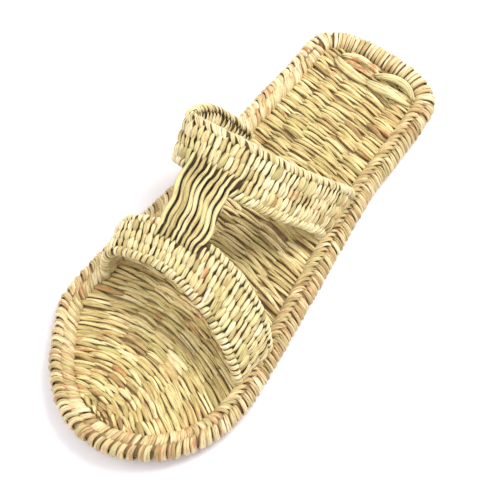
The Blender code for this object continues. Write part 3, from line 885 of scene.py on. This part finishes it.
# How its floats differ: in reach, place, lean, sway, height and thickness
STRAP_JITTER = (0.03, 0.00018, 0.0002, 0.00015, 0.00012, 0.14)
STRAP_TONE = (0.58, 0.18, 0.0)
LINING_TONE = (0.5, 0.15, 0.0)
STRAP_CORE_RINGS = 90
STRAP_CORE_EDGES = (0.04, 0.96)
# Path of a cord round a rolled edge: inwards as a share of the strap's width, inwards in metres, height
EDGE_PATH = (
    (0.21, 0.0000, 0.0004),
    (0.15, 0.0000, 0.0017),
    (0.00, 0.0030, 0.0021),
    (0.00, 0.0016, 0.0015),
    (0.00, 0.0010, 0.0000),
    (0.00, 0.0016, -0.0014),
    (0.00, 0.0030, -0.0018),
    (0.15, 0.0000, -0.0005),
)
# How far a cord moves along the strap for each metre inwards, at its back and its front edge
REAR_EDGE_SLANTS = (-0.85, -0.25)
FRONT_EDGE_SLANTS = (-0.35, -0.25)
EDGE_RINGS = 13
EDGE_RADIUS = 0.0024
EDGE_DEPTH = 0.0006
EDGE_CORD_RADIUS = 0.53
EDGE_TAPER = (0.4, 0.5)
# How its cords differ: in place, slant, height and thickness
EDGE_JITTER = (0.00018, 0.15, 0.04, 0.06)
EDGE_TONE = (0.72, 0.14, 0.0)
EDGE_CORE_RINGS = 50
EDGE_CORE_SIDES = 8
BAR_STRANDS = 9
BAR_RINGS = 30
BAR_HEIGHT = 0.0015
BAR_RADIUS = 0.425
BAR_TAPER = (0.8, 0.4)
# Waves and swellings of a strand along the bar: how many and how large
BAR_WAVES = 2.6
BAR_WAVE = 0.00065
BAR_RIPPLES = 3
BAR_RIPPLE = 0.10
BAR_STAGGER = 0.3
# How strands differ: in start of their waves, place, height and start of their swellings
BAR_JITTER = (0.04, 0.00025, 0.00015, 0.4)
BAR_TONE = (0.50, 0.16, 0.16)
# Where strands run in the straps, above and below: share of the way from back to front, height over the wall
BAR_IN_REAR = ((0.58, 0.0006), (0.68, 0.0021), (0.84, 0.0023), (1.0, BAR_HEIGHT))
BAR_IN_FRONT = ((0.0, BAR_HEIGHT), (0.16, 0.0023), (0.32, 0.0021), (0.42, 0.0006))
UNDER_IN_REAR = ((0.90, 0.0005), (1.0, BAR_HEIGHT))
UNDER_IN_FRONT = ((0.0, BAR_HEIGHT), (0.1, 0.0005))
# Core of the bar, as depths under its strands, and its two borders as shares of the bar's width
BAR_CORE_SIDES = (-0.47, 0.47)
BAR_CORE_TOP = 0.0007
BAR_CORE_UNDER = 0.0020


def strap_floats(weave, strap, side, style, rings, skip, tone):
    """Floats in the columns of a strap. side is +1 on the outside and -1 on the foot's side.

    skip names a column and the two places along the strap between which it is left to the bar.
    """
    t = np.linspace(0, 1, rings)
    floats = []
    for column, (start, end) in enumerate(zip(STRAP_BORDERS, STRAP_BORDERS[1:])):
        for i in range(strap.turns):
            mark = (i + 0.25 + 0.5 * (column % 2)) * strap.pitch
            if side > 0 and column == skip[0] and skip[1] < mark < skip[2]:
                continue
            jitter = weave.random.normal(0, 1, 6) * STRAP_JITTER
            reach = STRAP_REACH + jitter[0]
            share = start + (end - start) * (-reach + (1 + 2 * reach) * t)
            along = mark + jitter[1] + (jitter[2] - STRAP_LEAN) * (t - 0.5)
            along = along + (STRAP_SWAY + jitter[3]) * np.sin(2 * math.pi * t)
            rise = STRAP_CROWN + jitter[4] - STRAP_SINK
            height = side * (STRAP_SINK + rise * np.sin(math.pi * t) ** 0.65)
            path, normal = strap.point(along, share, height)
            radii = strap.pitch * STRAP_RADIUS * (1 + jitter[5]) * spindle(rings, *STRAP_TAPER)
            floats.append((path, normal * side, radii, weave.tone(*tone)))
    weave.cords(floats, style)


def strap_edge(weave, strap, front, slant, skip):
    """Cords over one rolled edge of a strap, left out between two places where the bar runs in."""
    width = np.linalg.norm(strap.front - strap.back, axis=1).mean()
    knots = np.array([(share * width + inwards, height) for share, inwards, height in EDGE_PATH])
    line = resample(curve_through(knots, 6), EDGE_RINGS)
    aslant = slant * line[:, 0] * np.sign(line[:, 1])
    cords = []
    for i in range(strap.turns):
        mark = (i + 0.75) * strap.pitch
        if skip[0] < mark < skip[1]:
            continue
        jitter = weave.random.normal(0, 1, 4) * EDGE_JITTER
        along = mark + jitter[0] + aslant * (1 + jitter[1])
        edge, inwards, normal = strap.edge(along, front)
        offset = inwards * line[:, :1] + normal * line[:, 1:] * (1 + jitter[2])
        radii = strap.pitch * EDGE_CORD_RADIUS * (1 + jitter[3]) * spindle(EDGE_RINGS, *EDGE_TAPER)
        cords.append((edge + offset, unit(offset - inwards * EDGE_RADIUS), radii, weave.tone(*EDGE_TONE)))
    weave.cords(cords, EDGE_STYLE)


def strap_core_shade(weave, strap):
    """Wall inside a strap, painted dark as shade in the gaps between its floats."""
    places = np.linspace(0, strap.length, STRAP_CORE_RINGS)
    same = np.ones(STRAP_CORE_RINGS)
    rings = []
    low, high = STRAP_CORE_EDGES
    for share, height in ((low, -1), (high, -1), (high, 1), (low, 1)):
        point, _ = strap.point(places, same * share, same * height * STRAP_CORE)
        rings.append(point)
    weave.rings(np.stack(rings, axis=1)[None], CORE_TONE, 1)


def edge_core(weave, strap, front, skip):
    """Cord inside one rolled edge of a strap, painted dark as shade between its cords, left out between two
    places where the bar runs in.
    """
    for low, high in ((0.0, min(skip[0], strap.length)), (skip[1], strap.length)):
        if low >= high:
            continue
        places = np.linspace(low, high, EDGE_CORE_RINGS)
        edge, inwards, normal = strap.edge(places, front)
        path = edge + inwards * EDGE_RADIUS
        aside = np.cross(normal, unit(np.gradient(path, axis=0)))
        radius = EDGE_RADIUS - EDGE_DEPTH
        weave.rings(tubes(path, aside, normal, radius, radius, EDGE_CORE_SIDES)[None], CORE_TONE, 1)


def place_over(strap, line, across):
    """Place along a strap where one of its edges passes over a line across the sole, near the crown."""
    high = np.flatnonzero(line[:, 2] > (line[:, 2].max() + line[:, 2].min()) / 2)
    order = high[np.argsort(line[high, 0])]
    return np.interp(across, line[order, 0], strap.reach[order])


def bar_ends(rear, front, side):
    """Places on both straps where a line of the bar meets them, side being a share of the bar's width."""
    begin = place_over(rear, rear.front, (BAR_REAR_MIDDLE + side) * BAR_WIDTH)
    finish = place_over(front, front.back, (BAR_FRONT_MIDDLE + side) * BAR_WIDTH)
    return begin, finish


def bar_line(rear, front, side, face):
    """Path of a strand of the bar, from under the floats of one strap to under those of the other."""
    begin, finish = bar_ends(rear, front, side)
    start, end = (BAR_IN_REAR, BAR_IN_FRONT) if face > 0 else (UNDER_IN_REAR, UNDER_IN_FRONT)
    knots = []
    for strap, place, rows in ((rear, begin, start), (front, finish, end)):
        for share, height in rows:
            point, _ = strap.point(np.array(place), np.array(share), np.array(face * height))
            knots.append(point)
    return resample(curve_through(np.array(knots), 8), BAR_RINGS)


def bar_strands(weave, rear, front):
    """Long strands between the straps, above and below a core painted near black as shade in the gaps between
    them.
    """
    t = np.linspace(0, 1, BAR_RINGS)
    swell = np.sin(math.pi * t)
    pitch = BAR_WIDTH / BAR_STRANDS
    for face in (1, -1):
        strands = []
        for strand in range(BAR_STRANDS):
            line = bar_line(rear, front, (strand + 0.5) / BAR_STRANDS - 0.5, face)
            jitter = weave.random.normal(0, 1, 4) * BAR_JITTER
            line[:, 0] += BAR_WAVE * np.sin(2 * math.pi * (BAR_WAVES * t + jitter[0]) + strand * BAR_STAGGER)
            line[:, 0] += jitter[1] * swell
            line[:, 2] += jitter[2] * swell
            ripple = np.sin(2 * math.pi * BAR_RIPPLES * t + math.pi * strand + jitter[3])
            radii = pitch * BAR_RADIUS * (1 + BAR_RIPPLE * ripple) * spindle(BAR_RINGS, *BAR_TAPER)
            strands.append((line, [(0, 0, face)], radii, weave.tone(*BAR_TONE)))
        weave.cords(strands, BAR_STYLE)
    lines = [bar_line(rear, front, side, 1) for side in BAR_CORE_SIDES]
    top, under = np.array([0, 0, BAR_CORE_TOP]), np.array([0, 0, BAR_CORE_UNDER])
    rings = np.stack([lines[0] - under, lines[1] - under, lines[1] - top, lines[0] - top], axis=1)
    weave.rings(rings[None, :, ::-1], CORE_TONE, 2)


def make_upper(materials, shift):
    """Two woven straps joined by a bar."""
    weave = Weave(UPPER_SEED)
    rear = Strap(REAR_STRAP, REAR_STRAP_AT, REAR_STRAP_WIDTH, REAR_STRAP_HEIGHT)
    front = Strap(FRONT_STRAP, FRONT_STRAP_AT, FRONT_STRAP_WIDTH, FRONT_STRAP_HEIGHT)
    nowhere = (1.0, 1.0)
    borders = [bar_ends(rear, front, side) for side in (-0.5, 0.5)]
    rear_bar, front_bar = (sorted(places) for places in zip(*borders))
    for strap, slants, skip, back_skip, front_skip in (
        (rear, REAR_EDGE_SLANTS, (2, *rear_bar), nowhere, rear_bar),
        (front, FRONT_EDGE_SLANTS, (0, *front_bar), front_bar, nowhere),
    ):
        strap_core_shade(weave, strap)
        strap_floats(weave, strap, 1, STRAP_STYLE, STRAP_RINGS, skip, STRAP_TONE)
        strap_floats(weave, strap, -1, LINING_STYLE, LINING_RINGS, skip, LINING_TONE)
        for front_edge, slant, edge_skip in ((False, slants[0], back_skip), (True, slants[1], front_skip)):
            edge_core(weave, strap, front_edge, edge_skip)
            strap_edge(weave, strap, front_edge, slant, edge_skip)
    weave.random = np.random.default_rng(BAR_SEED)
    bar_strands(weave, rear, front)
    return weave.build("upper_weave", materials, shift)


def node(tree, kind, inputs=(), **settings):
    """A shader node with its settings and input values."""
    made = tree.nodes.new(kind)
    for name, value in settings.items():
        setattr(made, name, value)
    for key, value in dict(inputs).items():
        made.inputs[key].default_value = value
    return made


def new_material(name):
    """A material, its node tree and its shader."""
    material = bpy.data.materials.new(name)
    material.use_nodes = True
    return material, material.node_tree, material.node_tree.nodes["Principled BSDF"]


def mix_colours(tree, blend, factor, first, second):
    """A colour mix whose factor and colours are sockets or values."""
    mix = node(tree, "ShaderNodeMix", data_type="RGBA", blend_type=blend)
    for socket, value in ((mix.inputs[0], factor), (mix.inputs[6], first), (mix.inputs[7], second)):
        if isinstance(value, bpy.types.NodeSocket):
            tree.links.new(value, socket)
        else:
            socket.default_value = value
    return mix.outputs[2]


def ramp(tree, factor, stops):
    """A colour ramp from (place, colour) stops."""
    made = tree.nodes.new("ShaderNodeValToRGB")
    points = made.color_ramp.elements
    while len(points) < len(stops):
        points.new(0.5)
    for point, (place, colour) in zip(points, stops):
        point.position = place
        point.color = colour
    tree.links.new(factor, made.inputs[0])
    return made.outputs[0]


def grey(value):
    """An even grey."""
    return (value, value, value, 1.0)


def leaf_noise(tree, along, across, detail):
    """Noise over a leaf's own map: how fine along it and across it, and its detail."""
    chart = node(tree, "ShaderNodeUVMap", uv_map="leaf")
    scale = node(tree, "ShaderNodeMapping", {"Scale": (along, across, 1.0)})
    noise = node(tree, "ShaderNodeTexNoise", {"Scale": 1.0, "Detail": detail, "Roughness": 0.6})
    tree.links.new(chart.outputs["UV"], scale.inputs["Vector"])
    tree.links.new(scale.outputs["Vector"], noise.inputs["Vector"])
    return noise.outputs["Fac"]


STREAK_REACH = 0.30
# Noise on a leaf: how fine it is along the leaf and across it, and its detail
BLOTCHES = (0.16, 0.5, 2.0)
FIBRES = (0.14, 1.6, 3.0)
FIBRE_SHARE = 0.85
END_SHARE = 0.9
# Stops of the ramps for streaks and fibres, as places and colours
STREAK_STOPS = ((0.68, grey(0)), (0.86, grey(0.8)))
FIBRE_STOPS = ((0.34, (0.52, 0.41, 0.28, 1)), (0.56, grey(1.08)))
CORE_GRAIN = 260.0
TAN = (0.46, 0.17, 0.05, 1)
STRAWS = {
    # dark, middle and pale leaves; green leaves, streaks, painted shade and browning at the ends of leaves;
    # roughness
    "footbed_straw": (
        (0.36, 0.24, 0.09, 1), (0.67, 0.52, 0.22, 1), (0.84, 0.72, 0.40, 1),
        (0.50, 0.46, 0.16, 1), TAN, (0.42, 0.30, 0.13, 1), 0.55,
    ),
    "rope_straw": (
        (0.40, 0.25, 0.10, 1), (0.70, 0.53, 0.27, 1), (0.88, 0.77, 0.50, 1),
        (0.50, 0.44, 0.18, 1), TAN, (0.42, 0.28, 0.13, 1), 0.48,
    ),
    "plait_straw": (
        (0.38, 0.29, 0.12, 1), (0.66, 0.55, 0.27, 1), (0.85, 0.76, 0.46, 1),
        (0.55, 0.53, 0.24, 1), (0.50, 0.16, 0.04, 1), (0.42, 0.30, 0.13, 1), 0.45,
    ),
    "strap_straw": (
        (0.40, 0.31, 0.11, 1), (0.70, 0.57, 0.27, 1), (0.89, 0.80, 0.54, 1),
        (0.60, 0.56, 0.24, 1), TAN, (0.40, 0.33, 0.12, 1), 0.46,
    ),
}
# Colours of the cores: painted shade seen in the gaps between leaves
CORES = {
    # dark and light
    "straw_core_shade": ((0.12, 0.07, 0.025, 1), (0.30, 0.19, 0.08, 1)),
    "footbed_core_shade": ((0.22, 0.14, 0.06, 1), (0.48, 0.33, 0.15, 1)),
    "bar_core_shade": ((0.03, 0.018, 0.008, 1), (0.08, 0.05, 0.02, 1)),
    "strap_core_shade": ((0.05, 0.032, 0.012, 1), (0.15, 0.10, 0.04, 1)),
}


def straw_material(name, dark, middle, pale, green, streak, shaded, roughness):
    """Dry straw: its tone from the leaf, streaks and fibres along it, and painted shade with some browning
    where it dives under.
    """
    material, tree, shader = new_material(name)
    link = tree.links.new
    tone = node(tree, "ShaderNodeAttribute", attribute_name="straw")
    parts = node(tree, "ShaderNodeSeparateColor")
    link(tone.outputs["Color"], parts.inputs[0])
    base = ramp(tree, parts.outputs[0], ((0.0, dark), (0.45, middle), (1.0, pale)))
    base = mix_colours(tree, "MIX", parts.outputs[1], base, green)
    reach = node(tree, "ShaderNodeMath", {1: STREAK_REACH}, operation="MULTIPLY_ADD")
    link(parts.outputs[2], reach.inputs[0])
    link(leaf_noise(tree, *BLOTCHES), reach.inputs[2])
    base = mix_colours(tree, "MIX", ramp(tree, reach.outputs[0], STREAK_STOPS), base, streak)
    fibres = leaf_noise(tree, *FIBRES)
    base = mix_colours(tree, "MULTIPLY", FIBRE_SHARE, base, ramp(tree, fibres, FIBRE_STOPS))
    # painted shade and browning where the leaf dives under its neighbours
    ends = ramp(tree, tone.outputs["Alpha"], ((0.0, shaded), (1.0, grey(1))))
    link(mix_colours(tree, "MULTIPLY", END_SHARE, base, ends), shader.inputs["Base Color"])
    bump = node(tree, "ShaderNodeBump", {"Strength": 0.9, "Distance": 0.0005})
    link(fibres, bump.inputs["Height"])
    link(bump.outputs[0], shader.inputs["Normal"])
    for name, value in (("Roughness", roughness), ("Specular IOR Level", 0.45), ("Sheen Weight", 0.08)):
        shader.inputs[name].default_value = value
    return material


def core_material(name, dark, light):
    """Painted shade between the leaves: dark brown with a fine grain."""
    material, tree, shader = new_material(name)
    place = node(tree, "ShaderNodeTexCoord")
    noise = node(tree, "ShaderNodeTexNoise", {"Scale": CORE_GRAIN, "Detail": 3.0})
    tree.links.new(place.outputs["Object"], noise.inputs["Vector"])
    colour = ramp(tree, noise.outputs["Fac"], ((0.3, dark), (0.7, light)))
    tree.links.new(colour, shader.inputs["Base Color"])
    shader.inputs["Roughness"].default_value = 0.9
    return material


FLOOR_COLOUR = (0.85, 0.84, 0.89, 1)
SURROUND_COLOUR = (0.98, 0.97, 0.98, 1)
SURROUND_STRENGTH = 0.84
LAMP_COLOUR = (1.0, 0.98, 0.95)
# Square soft lamps that face the sandal
LAMPS = (
    # name, place, size, power
    ("key", (-0.28, -0.62, 1.15), 0.65, 15.5),
    ("fill", (0.5, 0.8, 1.3), 1.2, 11.0),
)


def make_floor():
    """Plain pale floor."""
    bpy.ops.mesh.primitive_plane_add(size=6.0)
    floor = bpy.context.object
    floor.name = "floor"
    material, _, shader = new_material("floor")
    shader.inputs["Base Color"].default_value = FLOOR_COLOUR
    shader.inputs["Roughness"].default_value = 0.9
    floor.data.materials.append(material)
    floor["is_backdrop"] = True


def make_light():
    """A key behind the heel on the outer side, a fill over the toe on the inner side, a pale surround."""
    world = bpy.data.worlds.new("surround")
    world.use_nodes = True
    background = world.node_tree.nodes["Background"]
    background.inputs["Color"].default_value = SURROUND_COLOUR
    background.inputs["Strength"].default_value = SURROUND_STRENGTH
    bpy.context.scene.world = world
    for name, place, size, power in LAMPS:
        lamp = bpy.data.lights.new(name, "AREA")
        lamp.size, lamp.energy, lamp.color = size, power, LAMP_COLOUR
        light = bpy.data.objects.new(name, lamp)
        light.location = place
        light.rotation_euler = (-Vector(place)).to_track_quat("-Z", "Y").to_euler()
        bpy.context.collection.objects.link(light)


def make_camera():
    """Camera where the photo's stood, turned to this sandal and narrowed to frame it."""
    flat = math.cos(PHOTO_ELEVATION)
    ahead = Vector((
        math.sin(PHOTO_AZIMUTH) * flat,
        math.cos(PHOTO_AZIMUTH) * flat,
        -math.sin(PHOTO_ELEVATION),
    ))
    place = PHOTO_AIM - ahead * PHOTO_DISTANCE
    upright = ahead.cross(Vector((0, 0, 1))).cross(ahead)
    look = (SANDAL_AIM - place).normalized()
    right = look.cross(upright).normalized()
    up = right.cross(look)
    lens_data = bpy.data.cameras.new("camera")
    lens_data.sensor_width = SENSOR
    lens_data.lens = LENS
    lens_data.clip_start = 0.01
    camera = bpy.data.objects.new("camera", lens_data)
    turn = Matrix((right, up, -look)).transposed()
    camera.matrix_world = Matrix.Translation(place) @ turn.to_4x4()
    bpy.context.collection.objects.link(camera)
    bpy.context.scene.camera = camera


def main():
    """Build the pieces, put them in place of the solids, and set up floor, light and camera."""
    outline = sole_outline()
    corner = HEEL_ROUNDING * BINDING_CORNER
    corners = (share_at(outline, corner, 1), share_at(outline, corner, -1))
    slab = inset(outline, FRAME_WIDTH + GAP)
    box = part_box("sole")
    shift = np.array([slab[:, 0].min() - box[0][0], slab[:, 1].min() - box[0][1], 0.0])
    cores = {name: core_material(name, *colours) for name, colours in CORES.items()}
    straws = {name: straw_material(name, *looks) for name, looks in STRAWS.items()}
    bed = (straws["footbed_straw"], cores["footbed_core_shade"])
    rope = (straws["rope_straw"], cores["straw_core_shade"])
    plait = (straws["plait_straw"], cores["straw_core_shade"])
    strap = (straws["strap_straw"], cores["strap_core_shade"], cores["bar_core_shade"])
    pieces = (
        (make_footbed(outline, bed, shift), "sole", "footbed_straw"),
        (make_edge_rope(outline, corners, rope, shift), "edge_rope", "rope_straw"),
        (make_heel_binding(outline, corners, rope, shift), "heel_binding", "binding_straw"),
        (make_heel_plait(plait, shift), "heel_braid", "braid_straw"),
        (make_upper(strap, shift), "upper", "upper_straw"),
    )
    for piece, replaced, slot in pieces:
        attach(piece, "root")
        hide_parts(replaced)
        print(piece.name, 2 * len(piece.data.polygons), "triangles")
    make_floor()
    make_light()
    make_camera()
    bpy.context.scene.view_settings.view_transform = "Standard"


main()
plain = [[[float(value) for value in corner] for corner in bounds] for bounds in (CAD_BOUNDS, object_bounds())]
